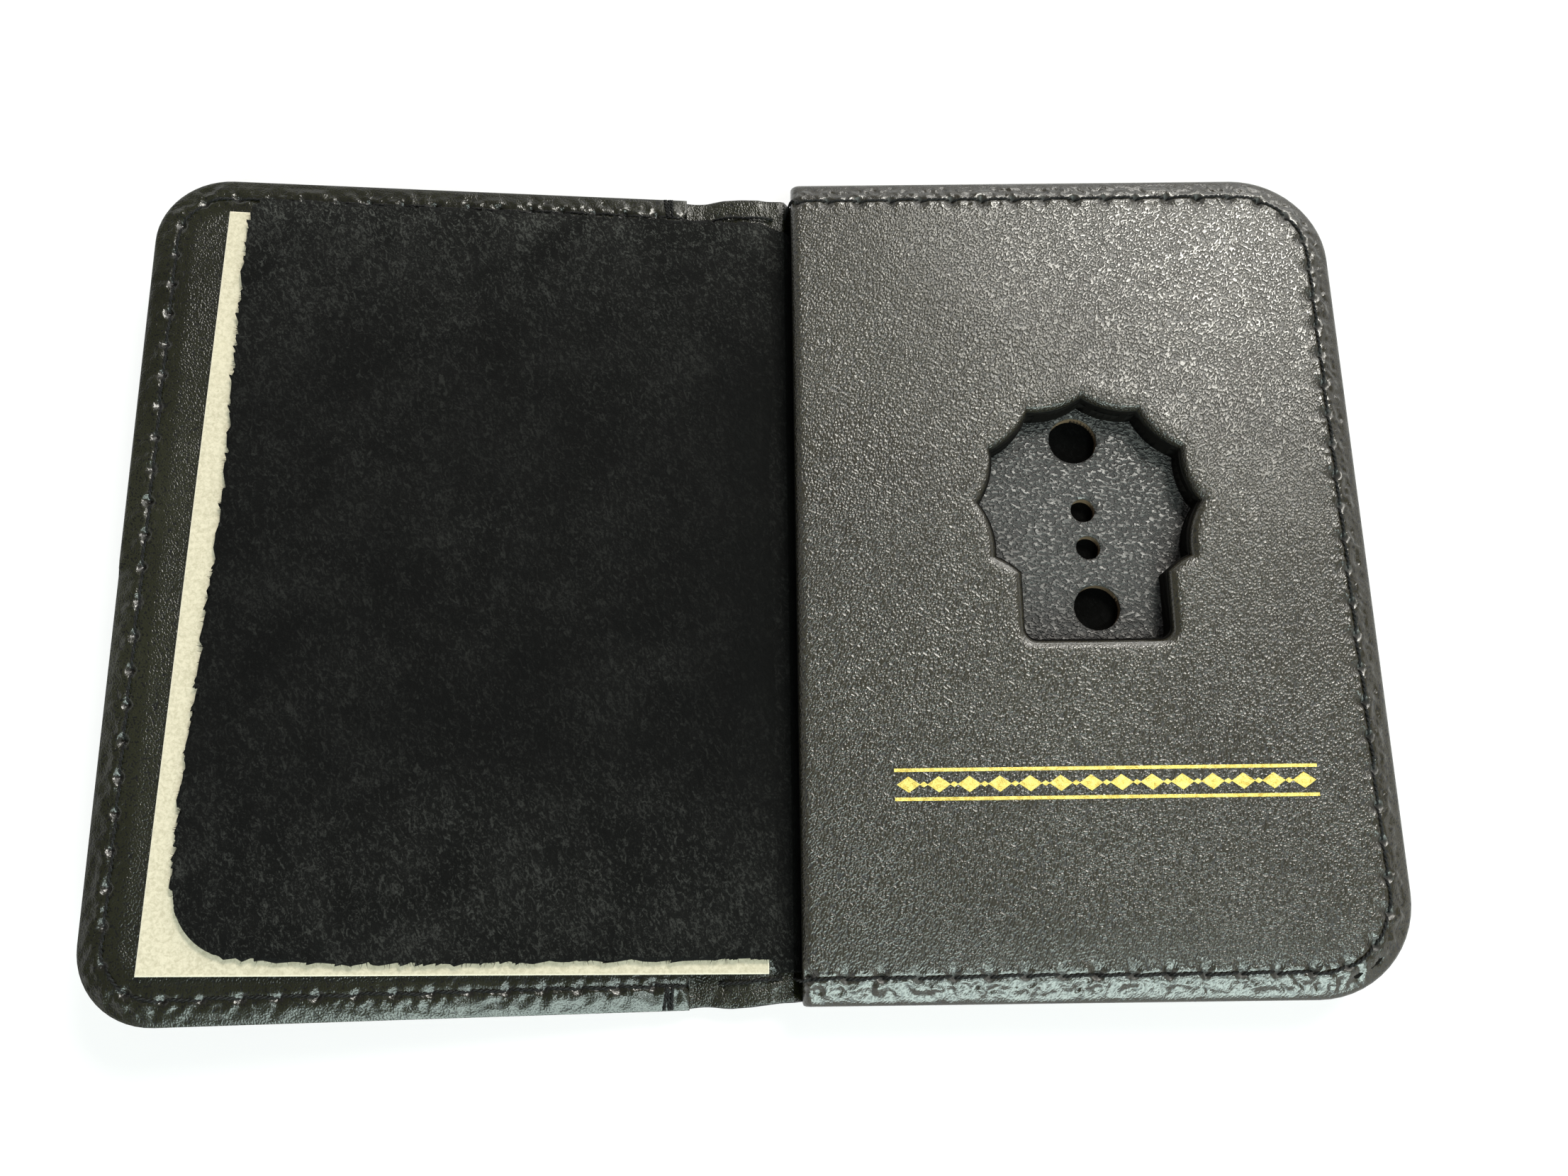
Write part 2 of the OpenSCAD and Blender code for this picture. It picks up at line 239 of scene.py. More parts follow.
def suedeFinish(name, look):  # short hairs in brushed patches
    finish = Finish(name, {"Specular IOR Level": look["gloss"], "Sheen Weight": look["nap"], "Sheen Roughness": 0.5,
                           "Sheen Tint": tone(*look["sheen"])})
    size = look["clump"]
    hairs = finish.speckle(size, 4.0, 0.7, 1.4, finish.stretched(1, 2.0, 1, 25))
    tufts = finish.speckle(size * 0.45, 3.0, 0.65, 0.8)
    brushed = finish.speckle(size * 18, 4.0, 0.6, 0.6)
    lint = finish.rise(hairs * 0.62 + tufts * 0.38 + (brushed - 0.5) * 0.14, *look["lint"])
    tint = finish.mix(finish.rise(brushed, 0.38, 0.62), look["dark"], look["pale"])
    tint = finish.mix(lint, tint, look["fibre"])
    tint = finish.mix(finish.mark("cutEdge"), tint, look["edge"])
    # Painted light and shade: the suede is darkened by the painted mark, and made lighter where the mark falls below
    # zero
    tint = finish.dimmed(tint, 1 - finish.mark("shaded"))
    return finish.dress(tint, look["rough"] + tufts * 0.2, hairs * 0.7 + tufts * 0.5, 1.0, look["depth"])


def crumbFinish(name, look):  # the flesh side of a split, pressed into crumbs
    finish = Finish(name, {"Specular IOR Level": look["gloss"]})
    crumbs = finish.speckle(look["crumb"], 1.5, 0.5, 0.5, finish.stretched(1.5, 1.0, 1.0, -12))
    ridge = finish.rise(crumbs, 0.42, 0.58)
    tint = finish.mix(finish.speckle(2.5, 3.0, 0.6), look["dark"], look["pale"])
    # Painted shade and dirt: the crumbs are darkened in the cracks between them
    shade = finish.ramp(ridge, [(0.0, look["creviceShade"]), (0.6, 1.0)])
    tint = finish.dimmed(tint, shade)
    tint = finish.mix(finish.mark("cutEdge"), tint, look["edge"])
    return finish.dress(tint, look["rough"] + (1 - ridge) * 0.3, ridge, 1.0, look["depth"])


def boardFinish(name, look):  # bonded leather in thin layers
    finish = Finish(name, {"Specular IOR Level": look["gloss"]})
    layers = finish.speckle(0.5, 4.0, 0.7, 0.0, finish.stretched(4, 4, 0.35))
    grit = finish.speckle(0.2, 3.0, 0.7)
    tint = finish.mix(finish.rise(layers * 0.7 + grit * 0.3, 0.36, 0.62),
                      look["dark"], look["pale"])
    return finish.dress(tint, 0.62 + grit * 0.25, layers * 0.7 + grit * 0.5, 0.8, look["depth"])


def cardFinish(name, look):  # pulp, flecks and a faint stain
    finish = Finish(name, {"Specular IOR Level": 0.25})
    pulp = finish.speckle(0.5, 4.0, 0.7, 0.5)
    fleck = finish.speckle(0.6, 3.0, 0.6, 0.0, finish.stretched(1, 3.0, 1, 35))
    stain = finish.speckle(22, 3.0, 0.6)
    tint = finish.mix(finish.rise(pulp, 0.36, 0.6), look["dark"], look["pale"])
    tint = finish.mix(finish.ramp(fleck, [(0.58, 0.0), (0.72, 0.5)]), tint, look["fleck"])
    tint = finish.mix(finish.ramp(stain, [(0.5, 0.0), (0.75, 0.35)]), tint, look["warm"])
    tint = finish.mix(finish.mark("cutEdge"), tint, look["edge"])
    return finish.dress(tint, 0.78 + pulp * 0.1, pulp, 0.5, 0.05)


def threadFinish(name, look):
    finish = Finish(name, {"Specular IOR Level": 0.3})
    fuzz = finish.speckle(0.12, 3.0, 0.7)
    wax = finish.speckle(3.0, 2.0)
    tint = finish.mix(finish.rise(wax * 0.6 + fuzz * 0.4, 0.4, 0.65), look["dark"], look["pale"])
    return finish.dress(tint, look["rough"] + fuzz * 0.25, fuzz, 0.6, 0.06)


def foilFinish(name, look):
    finish = Finish(name, {"Metallic": 1.0})
    grit = finish.speckle(0.14, 3.0, 0.75)
    blotch = finish.speckle(0.7, 3.0, 0.6)
    tint = finish.mix(finish.rise(grit * 0.5 + blotch * 0.5, 0.36, 0.6), look["dark"], look["pale"])
    return finish.dress(tint, look["rough"] + grit * 0.3, grit + blotch * 0.6, 0.7, 0.06)


finishes = {
    "shell": leatherFinish("shellLeather", {
        "grain": 0.22, "long": 1.4, "lean": 20, "even": 0.7, "depth": 0.022, "rough": 0.34, "matt": 0.1, "worn": 0.3,
        "rubbed": 0.0, "gloss": 0.35, "creviceShade": 0.4, "dark": (0.012, 0.012, 0.009), "pale": (0.021, 0.021, 0.016),
        "edge": (0.022, 0.012, 0.009), "torn": 0.5}),
    "face": leatherFinish("faceLeather", {
        "grain": 0.225, "long": 1.6, "lean": -32, "even": 0.94, "depth": 0.062, "rough": 0.245, "matt": 0.18,
        "worn": 0.8, "rubbed": 0.08, "gloss": 0.8, "creviceShade": 0.0, "dark": (0.016, 0.013, 0.007),
        "pale": (0.021, 0.018, 0.010), "edge": (0.003, 0.003, 0.002), "torn": 0.5}),
    "pocket": leatherFinish("pocketLeather", {
        "grain": 0.21, "long": 1.3, "lean": 25, "even": 0.6, "depth": 0.055, "rough": 0.25, "matt": 0.12, "worn": 0.7,
        "rubbed": 0.06, "gloss": 0.55, "creviceShade": 0.0, "dark": (0.007, 0.007, 0.002), "pale": (0.015, 0.015, 0.007),
        "edge": (0.004, 0.003, 0.003), "torn": 0.05}),
    "suede": suedeFinish("blackSuede", {
        "clump": 0.6, "nap": 0.02, "sheen": (0.6, 0.6, 0.56), "gloss": 0.1, "rough": 0.65, "depth": 0.3,
        "dark": (0.0016, 0.0016, 0.0014), "pale": (0.0052, 0.0051, 0.0047), "lint": (0.50, 0.62),
        "fibre": (0.040, 0.040, 0.037), "edge": (0.006, 0.006, 0.006)}),
    # A darker copy of the black suede: painted shade for the tail under the badge panel
    "tailShadeSuede": suedeFinish("tailShadeSuede", {
        "clump": 0.5, "nap": 0.0, "sheen": (0.5, 0.5, 0.5), "gloss": 0.05, "rough": 0.8, "depth": 0.2,
        "dark": (0.0010, 0.0010, 0.0009), "pale": (0.0026, 0.0026, 0.0024), "lint": (0.5, 0.7),
        "fibre": (0.006, 0.006, 0.006), "edge": (0.002, 0.002, 0.002)}),
    "greySuede": crumbFinish("greySuede", {
        "crumb": 0.36, "depth": 0.34, "rough": 0.36, "gloss": 0.8, "creviceShade": 0.0, "dark": (0.056, 0.053, 0.051),
        "pale": (0.094, 0.090, 0.087), "edge": (0.10, 0.075, 0.045)}),
    "brownBoard": boardFinish("brownBoard", {
        "dark": (0.06, 0.036, 0.020), "pale": (0.20, 0.14, 0.085), "gloss": 0.3, "depth": 0.08}),
    # Near-black board, set darker still as painted shade for the recess walls
    "darkShadedBoard": boardFinish("darkShadedBoard", {
        "dark": (0.002, 0.002, 0.002), "pale": (0.006, 0.005, 0.004), "gloss": 0.06, "depth": 0.08}),
    "card": cardFinish("creamCard", {
        "dark": (0.42, 0.37, 0.275), "pale": (0.555, 0.495, 0.385), "fleck": (0.40, 0.35, 0.26),
        "warm": (0.555, 0.495, 0.37), "edge": (0.63, 0.57, 0.46)}),
    "thread": threadFinish("waxedThread", {
        "dark": (0.002, 0.002, 0.002), "pale": (0.007, 0.007, 0.007), "rough": 0.5}),
    "foil": foilFinish("goldFoil", {
        "dark": (0.38, 0.28, 0.05), "pale": (0.82, 0.68, 0.22), "rough": 0.3}),
}
print("finishes mixed:", len(finishes))


def outline(x0, x1, height, rounded):
    bm = bmesh.new()
    bmesh.ops.create_grid(bm, x_segments=1, y_segments=1, size=0.5)
    bmesh.ops.scale(bm, vec=(x1 - x0, height, 1), verts=bm.verts)
    bmesh.ops.translate(bm, vec=((x0 + x1) / 2, 0, 0), verts=bm.verts)
    for (sideX, sideY), radius in rounded.items():
        corner = max(bm.verts, key=lambda v: sideX * v.co.x + sideY * v.co.y)
        bmesh.ops.bevel(bm, geom=[corner], offset=radius, offset_type="OFFSET", segments=14, profile=0.5,
                        affect="VERTICES", material=-1)
    return bm


def lift(bm, faces, height):  # pull faces up into walls
    grown = bmesh.ops.extrude_face_region(bm, geom=faces)["geom"]
    bmesh.ops.translate(bm, vec=(0, 0, height), verts=[g for g in grown if isinstance(g, bmesh.types.BMVert)])


def thicken(bm, thickness, rounding, segments=2, skip=1e6):  # the edge at x = skip stays sharp
    lift(bm, bm.faces[:], thickness)
    bmesh.ops.recalc_face_normals(bm, faces=bm.faces)
    rims = [e for e in bm.edges if len(e.link_faces) == 2 and abs(e.verts[0].co.z - e.verts[1].co.z) < 1e-5
            and e.calc_face_angle() > 1.2 and any(abs(v.co.x - skip) > 1e-4 for v in e.verts)]
    bmesh.ops.bevel(bm, geom=rims, offset=rounding, offset_type="OFFSET", segments=segments, profile=0.5,
                    affect="EDGES", clamp_overlap=False, material=-1)


def rule(bm, axis, marks):  # cut lines across the whole piece
    normal = Vector((1, 0, 0)) if axis == "x" else Vector((0, 1, 0))
    for mark in marks:
        bmesh.ops.bisect_plane(bm, geom=bm.verts[:] + bm.edges[:] + bm.faces[:], dist=1e-4,
                               plane_co=normal * mark, plane_no=normal)


def steps(start, end, pitch):  # even marks between two ends
    count = max(1, round((end - start) / pitch))
    return [start + (end - start) * i / count for i in range(1, count)]


def chequer(bm, x0, x1, high, pitch):  # even cut lines both ways
    rule(bm, "x", steps(x0, x1, pitch))
    rule(bm, "y", steps(-high / 2, high / 2, pitch))


def finer(bm, near, cuts):  # more points where the surface is worked
    flat = [f for f in bm.faces if abs(f.normal.z) > 0.9 and near(f.calc_center_median())]
    bmesh.ops.triangulate(bm, faces=[f for f in flat if len(f.verts) > 4])
    bm.normal_update()
    edges = {e for f in bm.faces if abs(f.normal.z) > 0.9 and near(f.calc_center_median()) for e in f.edges}
    bmesh.ops.subdivide_edges(bm, edges=list(edges), cuts=cuts, use_grid_fill=True)


def paint(bm, name, value):  # a value that a finish reads back with mark
    layer = bm.verts.layers.float.get(name) or bm.verts.layers.float.new(name)
    for v in bm.verts:
        v[layer] = value(v.co)


def piece(bm, name, finish, body=None, stands=(), smooth=50):
    bmesh.ops.recalc_face_normals(bm, faces=bm.faces)
    bmesh.ops.scale(bm, vec=(mm, mm, mm), verts=bm.verts)
    mesh = bpy.data.meshes.new(name)
    bm.to_mesh(mesh)
    bm.free()
    mesh.shade_smooth()
    mesh.set_sharp_from_angle(angle=math.radians(smooth))
    made = bpy.data.objects.new(name, mesh)
    bpy.context.scene.collection.objects.link(made)
    mesh.materials.append(finishes[finish])
    if stands:
        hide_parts(*stands)
    if body:
        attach(made, body)
    print("piece:", name, len(mesh.polygons), "faces")
    return made


# The seam runs 3 mm inside the edge of each side: head, outer edge, foot
seam = {"inset": 3.0, "pitch": 4.2, "threadRadius": 0.135, "slant": 0.11, "sway": 0.12, "dive": 0.22, "outer": 0.25,
        "reach": 2.6, "hole": 0.46, "holeWide": 0.44, "dark": 0.5, "ragged": 0.14, "moon": 0.32, "moonOff": 0.45,
        "moonWide": 0.8, "lane": 0.15, "laneWide": 0.26, "swell": 0.10, "pucker": 0.10}
seamHead = coverHeight / 2 - seam["inset"]


class SeamLine:  # x runs out from the spine side, and dented says which side of the holes is pressed, and how much
    def __init__(self, width, start, corner, dented):
        self.width, self.start, self.corner, self.dented = width, start, corner, dented
        self.run = width - corner
        self.radius = corner - seam["inset"]
        self.arc = self.radius * math.pi / 2
        self.rise = coverHeight - 2 * corner
        self.total = 2 * self.run + 2 * self.arc + self.rise
        self.count = int((self.total - 2 * start) // seam["pitch"])
        self.spacing = (self.total - 2 * start) / self.count

    def inside(self, x, y):  # distance in from the outer edge
        qx, qy = x - self.run, abs(y) - self.rise / 2
        if qx > 0 and qy > 0:
            return self.corner - math.hypot(qx, qy)
        return min(self.width - x, coverHeight / 2 - abs(y))

    def along(self, x, y):
        qx, qy = x - self.run, abs(y) - self.rise / 2
        if qx > 0 and qy <= 0:
            return self.run + self.arc + self.rise / 2 - y
        near = x if qx <= 0 or qy > 1000 else self.run + self.radius * math.atan2(qx, max(qy, 1e-6))
        return near if y > 0 else self.total - near

    def point(self, d):  # place and heading at a distance d along the seam
        if d > self.total / 2:
            x, y, heading = self.point(self.total - d)
            return x, -y, math.pi - heading
        if d < self.run:
            return d, seamHead, 0.0
        if d < self.run + self.arc:
            a = (d - self.run) / self.radius
            return self.run + self.radius * math.sin(a), seamHead - self.radius + self.radius * math.cos(a), -a
        return self.width - seam["inset"], self.rise / 2 - (d - self.run - self.arc), -math.pi / 2

    def pierced(self, x, y):  # 1 in a stitch hole, where the leather is dark
        across = self.inside(x, y) - seam["inset"]
        if abs(across) > 4 * seam["dark"]:
            return 0.0
        t = (self.along(x, y) - self.start) / self.spacing
        return bell(math.hypot((t - round(t)) * self.spacing, across + 0.1) / seam["dark"])

    def pull(self, x, y):  # how the stitches press and pucker the leather
        across = self.inside(x, y) - seam["inset"]
        if abs(across) > seam["reach"]:
            return 0.0
        t = (self.along(x, y) - self.start) / self.spacing
        hole = round(t)
        vary = 0.9 + 0.9 * noise.noise(Vector((hole * 1.7, 3.1, self.width)))
        near = (t - hole) * self.spacing
        ragged = seam["ragged"] * wander(x, y, 0.9, 31.0)
        dent = bell((math.hypot(near, across) + ragged) / seam["holeWide"])
        aside = math.hypot(near, across - seam["moonOff"] * self.dented)  # a half-moon is pressed by the hole
        moon = bell((aside / seam["moonWide"]) ** 2) * ramp((self.dented * across + 0.1) / 0.3)
        mound = bell((near - 0.2) / 0.7) * bell((across + 0.85) / 0.45) \
            + 0.7 * bell((abs(near) - 1.25) / 0.4) * bell((across - 0.6) / 0.5)
        slide = seam["slant"] * (1 - 2 * (t - math.floor(t)))
        lane = bell((across - slide + ragged) / seam["laneWide"])
        puckered = wander(x, y, 0.8, 11.0) * bell(across / 1.6)
        crumpled = (2.4 * wander(x, y, 1.2, 21.0) + 1.5 * wander(x, y, 0.6, 23.0)) * bell((across + 1.5) / 1.1)
        return -seam["hole"] * vary * dent - seam["moon"] * vary * moon * abs(self.dented) \
            + seam["swell"] * vary * mound - seam["lane"] * lane + seam["pucker"] * (puckered + crumpled)


badgeSeam = SeamLine(badgeWidth, 0.8, roundBadge, 1)
pocketSeam = SeamLine(pocketWidth, 0.0, roundCard, -0.6)


def join(bm, other):  # add another shape's mesh, and drop the other
    scrap = bpy.data.meshes.new("scrap")
    other.to_mesh(scrap)
    other.free()
    bm.from_mesh(scrap)
    bpy.data.meshes.remove(scrap)


def strand(length, turns, radius, sides=5, around=6):  # two plies twisted together, along x from its middle
    bm = bmesh.new()
    for ply in (0, math.pi):
        ring = bmesh.ops.create_circle(bm, segments=sides, radius=radius * 1.05)["verts"]
        bmesh.ops.rotate(bm, verts=ring, matrix=Matrix.Rotation(math.pi / 2, 3, "Y"))
        start = (-length / 2, math.cos(ply) * radius * 0.8, math.sin(ply) * radius * 0.8)
        bmesh.ops.translate(bm, verts=ring, vec=start)
        edges = list({e for v in ring for e in v.link_edges})
        bmesh.ops.spin(bm, geom=ring + edges, cent=(0, 0, 0), axis=(1, 0, 0), dvec=(length / (turns * around), 0, 0),
                       angle=turns * 2 * math.pi, steps=turns * around, use_duplicate=False)
    bmesh.ops.holes_fill(bm, edges=[e for e in bm.edges if e.is_boundary], sides=0)
    return bm


def sew(bm, path, dive):  # one stitch whose points run along path(share) = place, up
    stitch = strand(2.0, 3, seam["threadRadius"])
    for v in stitch.verts:
        share = v.co.x / 2 + 0.5
        place, ahead, up = path(share)
        side = ahead.cross(up).normalized()
        sink = dive * abs(2 * share - 1) ** 3
        v.co = place + side * v.co.y + up * (v.co.z - sink)
    join(bm, stitch)


# The badge panel's leather face, turned down at the spine and rolled down at the stitched edges
face = {"thick": 1.0, "turn": 1.25, "wallFoot": 2.75, "roll": 3.4, "rollDrop": 1.4, "lip": 0.45, "lipWide": 0.95,
        "open": 0.3, "lean": 0.12, "edge": 0.3, "grid": 1.7, "over": 0.25, "footSag": 0.5, "footWide": 10.0,
        "trim": 0.12, "swell": 0.07, "ripple": 0.035, "ring": 0.06}
recessMiddle = Vector((43.25, 7.4, 0))
recessReach = 24.0


def packedCopy(node):
    bm = bmesh.new()
    bm.from_mesh(frame["nodes"][node].data)
    bmesh.ops.scale(bm, vec=(1 / mm,) * 3, verts=bm.verts)
    bmesh.ops.remove_doubles(bm, verts=bm.verts, dist=1e-3)
    return bm


def trimCorners(bm, inset):  # the boards keep inside the cover's rounded corners
    for v in bm.verts:
        corner = Vector((panelHigh.x - roundBadge, math.copysign(coverHeight / 2 - roundBadge, v.co.y)))
        out = v.co.xy - corner
        if out.x > 0 and out.y * v.co.y > 0 and out.length > roundBadge - inset:
            v.co.xy = corner + out.normalized() * (roundBadge - inset)


def recessEdge(node, level):  # the recess outline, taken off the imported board
    bm = packedCopy(node)
    keep = {e for e in bm.edges if all(abs(v.co.z - level) < 0.02 and (v.co.xy - recessMiddle.xy).length < recessReach
            for v in e.verts) and abs(e.calc_face_angle(0)) > 0.5}
    bmesh.ops.delete(bm, geom=[e for e in bm.edges if e not in keep], context="EDGES")
    bmesh.ops.delete(bm, geom=[v for v in bm.verts if not v.link_edges], context="VERTS")
    for v in bm.verts:
        v.co = Vector((v.co.x - panelLow.x, v.co.y, 0))
    return bm


def tracePoints(bm, pitch):  # points all along the edges of a flat outline
    points = [e.verts[0].co.lerp(e.verts[1].co, k / n) for e in bm.edges
              for n in [max(1, int(e.calc_length() / pitch))] for k in range(n)]
    tree = kdtree.KDTree(len(points))
    for k, point in enumerate(points):
        tree.insert(point, k)
    tree.balance()
    return tree


recessOutline = recessEdge("spacer_upper", panelHigh.z - face["thick"])
recessTree = tracePoints(recessOutline, 0.1)


def toRecess(x, y):  # how far a place on the panel is from the recess's edge
    return recessTree.find((x, y, 0))[2]


def footward(y):  # 1 at the recess's foot, where its rim is worn round, and 0 at its head
    return ramp((recessMiddle.y + 5 - y) / 10)


def panelHeight(x, y):
    deep = badgeSeam.inside(x, y)
    rolled = max(0.0, 1 - deep / face["roll"]) ** 1.15
    soft = face["swell"] * wander(x, y, 17, 2.0) + face["ripple"] * wander(x, y, 6, 5.0)
    rim = toRecess(x, y)
    wide = face["lipWide"] * (0.6 + 0.9 * footward(y))
    lip = face["lip"] * max(0.0, 1 - rim / wide) ** 2.2 - face["ring"] * bell((rim - 2.0) / 0.9)
    sag = face["footSag"] * max(0.0, 1 - (y + coverHeight / 2) / face["footWide"]) ** 2
    return panelHigh.z - face["rollDrop"] * rolled - sag + soft * min(1.0, deep / 4) - lip + badgeSeam.pull(x, y)


def makeFace():
    turn = face["turn"]
    arc = turn * math.pi / 2
    wall = panelHigh.z - turn - face["wallFoot"]
    start = turn - arc - wall
    bm = outline(start, badgeWidth + face["over"], coverHeight + 2 * face["over"],
                 {(1, 1): roundBadge, (1, -1): roundBadge})
    bmesh.ops.delete(bm, geom=bm.faces[:], context="FACES_ONLY")
    join(bm, recessOutline)
    bmesh.ops.triangle_fill(bm, edges=bm.edges[:], use_beauty=True, use_dissolve=True, normal=(0, 0, 1))
    thicken(bm, face["thick"], face["edge"])
    chequer(bm, start, badgeWidth, coverHeight, face["grid"])
    bm.normal_update()
    finer(bm, lambda c: c.z > 0.5 and badgeSeam.inside(c.x, c.y) < 5.2 and c.x > -1, 3)
    finer(bm, lambda c: c.z > 0.5 and 0.9 < badgeSeam.inside(c.x, c.y) < 4.3 and c.x > 0, 1)
    finer(bm, lambda c: c.z > 0.5 and toRecess(c.x, c.y) < 1.9, 2)
    finer(bm, lambda c: c.z > 0.5 and toRecess(c.x, c.y) < 1.2, 1)
    rule(bm, "x", [turn - arc * k / 7 for k in range(8)])
    paint(bm, "cutEdge", lambda p: 1.0 if p.z < 0.6 and p.x > 1 and min(badgeSeam.inside(p.x, p.y),
          toRecess(p.x, p.y)) < 0.35 else badgeSeam.pierced(p.x, p.y))
    paint(bm, "pressed", lambda p: max(ramp((4.3 - badgeSeam.inside(p.x, p.y)) / 1.2),
          footward(p.y) * ramp((1.2 - toRecess(p.x, p.y)) / 0.5)))
    for v in bm.verts:
        s, y, depth = v.co.x, v.co.y, face["thick"] - v.co.z
        top = panelHeight(max(s, 0.0), y)
        away = (v.co.xy + Vector((panelLow.x, 0)) - recessMiddle.xy)
        if away.length < recessReach:  # the leather is cut a little wider than the boards, and leans in below
            wider = face["open"] * max(0.0, 1 - toRecess(s, y) / 2.5)
            shift = away.normalized() * (wider - face["lean"] * max(0.0, depth - 0.3))
            s, y = s + shift.x, y + shift.y
        if s >= turn:
            v.co = Vector((s, y, top - depth))
        elif s > turn - arc:
            a = (turn - s) / turn
            v.co = Vector((turn - (turn - depth) * math.sin(a), y, top - turn + (turn - depth) * math.cos(a)))
        else:
            down = (turn - arc - s) / wall * (top - turn - face["wallFoot"])
            v.co = Vector((depth, y, top - turn - down))
    bmesh.ops.translate(bm, vec=(panelLow.x, 0, 0), verts=bm.verts)
    piece(bm, "faceLeatherPanel", "face", "badge_side", ["badge_face"])


makeFace()


# Shell and lining: each is one sheet in the hand, made here as two halves that meet in the middle of the spine
covers = {"shell": 1.0, "lining": 0.6, "edge": 0.22, "dip": 0.3, "waver": 0.12, "crumple": 0.22, "grid": 2.2,
          "blend": 1.5}


def coverRow(x, y):  # the edge wavers at the head and foot of the spine
    edge = ramp((abs(y) - 48) / 6)
    dip = covers["dip"] * bell((x + 6.8) / 2.2)
    waver = covers["waver"] * wander(x, 0 if y > 0 else 60, 5, 8.0)
    return y - math.copysign(edge * (dip + waver * bell((x + 2) / 9)), y)


def makeCover(name, toBadge, thick, base, stands, finish):
    width = (panelHigh.x - midSpine) if toBadge else (midSpine - (pocketMouth - pocketWidth))
    side = 1 if toBadge else -1
    x0, x1 = (midSpine, midSpine + width) if toBadge else (midSpine - width, midSpine)
    rounded = roundBadge if toBadge else roundCard
    bm = outline(x0, x1, coverHeight, {(side, 1): rounded, (side, -1): rounded})
    thicken(bm, thick, covers["edge"], skip=midSpine)
    line = badgeSeam if toBadge else pocketSeam
    origin = panelLow.x if toBadge else pocketMouth
    chequer(bm, x0, x1, coverHeight, covers["grid"])
    fold = nearFold.x if toBadge else farFlat
    rule(bm, "x", [fold + 0.5 * k for k in range(-4, 5)])
    bm.normal_update()
    outer = base == 0

    def local(x):
        return (x - origin) * side

    finer(bm, lambda c: abs(line.inside(local(c.x), c.y) - seam["inset"]) < 1.8 and (c.z < 0.5) == outer, 3)
    paint(bm, "cutEdge", lambda p: 1.0 if line.inside(local(p.x), p.y) < 0.2 else 0.0)
    paint(bm, "pressed", lambda p: 0.0)
    for v in bm.verts:
        x, y, z = v.co
        deep = line.inside(local(x), y)
        level = (thick - z) / thick if outer else z / thick
        pull = line.pull(local(x), y) * (1.2 if outer else 0.6)
        soft = 0.05 * wander(x, y, 12, 4.0) * min(1.0, deep / 3)
        if not outer:   # crumpled at the head and foot of the spine
            soft += covers["crumple"] * wander(x, y, 1.5, 14.0) * ramp((abs(y) - 46) / 4) * ramp((x + 8) / 2)
        if not outer and not pocketMouth + 0.5 <= x <= panelLow.x - 0.5:  # pressed flat under both panels
            pull = soft = 0.0
        z += (pull + soft) * level * (-1 if outer else 1)
        if outer:
            z = max(z, 0.0)
        v.co = Vector((x, coverRow(x, y), z + base))
        layOpen(v.co)
    made = piece(bm, name, finish, None, stands)
    if toBadge:
        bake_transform(made)
    else:
        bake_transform(made)


makeCover("shellBadgeHalf", True, covers["shell"], 0.0, ["shell_badge_side"], "shell")
makeCover("shellCardHalf", False, covers["shell"], 0.0, ["shell_card_side", "shell_spine"], "shell")
makeCover("liningBadgeHalf", True, covers["lining"], covers["shell"], ["lining_badge_side"],
          "pocket")
makeCover("liningCardHalf", False, covers["lining"], covers["shell"], ["lining_card_side", "lining_spine"],
          "pocket")


# The slip pocket's panel, sewn on three sides and open towards the spine
pocket = {"thick": 1.0, "slip": 0.3, "border": 5.0, "edge": 0.25, "grid": 1.9, "gape": 0.10, "gapeDeep": 14,
          "gapeHigh": 34, "soft": 0.08, "rollWide": 2.6, "footDrop": 0.9, "headDrop": 0.5}


def pocketHeight(x, y):
    deep = pocketSeam.inside(x, y)
    mouth = ramp(1 - x / pocket["gapeDeep"]) * bell(y / pocket["gapeHigh"])
    rolled = max(0.0, 1 - deep / pocket["rollWide"]) ** 1.3
    soft = pocket["soft"] * wander(x, y, 21, 7.0) * min(1, deep / 5)
    drop = pocket["footDrop"] if y < 0 else pocket["headDrop"]
    return pocket["gape"] * mouth + soft - drop * rolled + pocketSeam.pull(x, y)


def makePocket():
    bm = outline(0, pocketWidth, coverHeight, {(1, 1): roundCard, (1, -1): roundCard})
    thicken(bm, pocket["thick"], pocket["edge"])
    chequer(bm, 0, pocketWidth, coverHeight, pocket["grid"])
    bm.normal_update()
    finer(bm, lambda c: c.z > 0.5 and pocketSeam.inside(c.x, c.y) < 5.2, 3)
    finer(bm, lambda c: c.z > 0.5 and abs(pocketSeam.inside(c.x, c.y) - seam["inset"]) < 1.3, 1)
    paint(bm, "cutEdge", lambda p: 1.0 if p.z < 0.7 and min(p.x, pocketSeam.inside(p.x, p.y)) < 0.2
          else pocketSeam.pierced(p.x, p.y))
    paint(bm, "pressed", lambda p: ramp((5.6 - pocketSeam.inside(p.x, p.y)) / 1.4))
    for v in bm.verts:
        x, y, z = v.co
        level = z / pocket["thick"]
        inner = min(1.0, max(0.0, pocketSeam.inside(x, y) - pocket["border"]))
        z += pocketHeight(x, y) * level + pocket["slip"] * inner * (1 - level)
        v.co = Vector((pocketMouth - x, y, z + linedTop))
        layOpen(v.co)
    piece(bm, "pocketPanel", "pocket", "card_side", ["pocket_panel"])


makePocket()


# Waxed thread: the stitches show on both faces of each cover
thread = {"badgeProud": 0.07, "badgeHump": 0.07, "pocketProud": 0.03, "pocketHump": 0.06, "spineProud": 0.34,
          "spineDive": 0.35, "spineTilt": 0.2, "spineHoles": ((0.6, 0.0), (0.6, 0.42), (0.4, 0.87))}


def stitchPlace(line, start, share, sway):  # place and heading on the inside of a cover
    x, y, heading = line.point(start + share * line.spacing)
    slope = seam["slant"] * (2 * share - 1) + 4 * share * (1 - share) * sway
    return x - math.sin(heading) * slope, y + math.cos(heading) * slope, heading


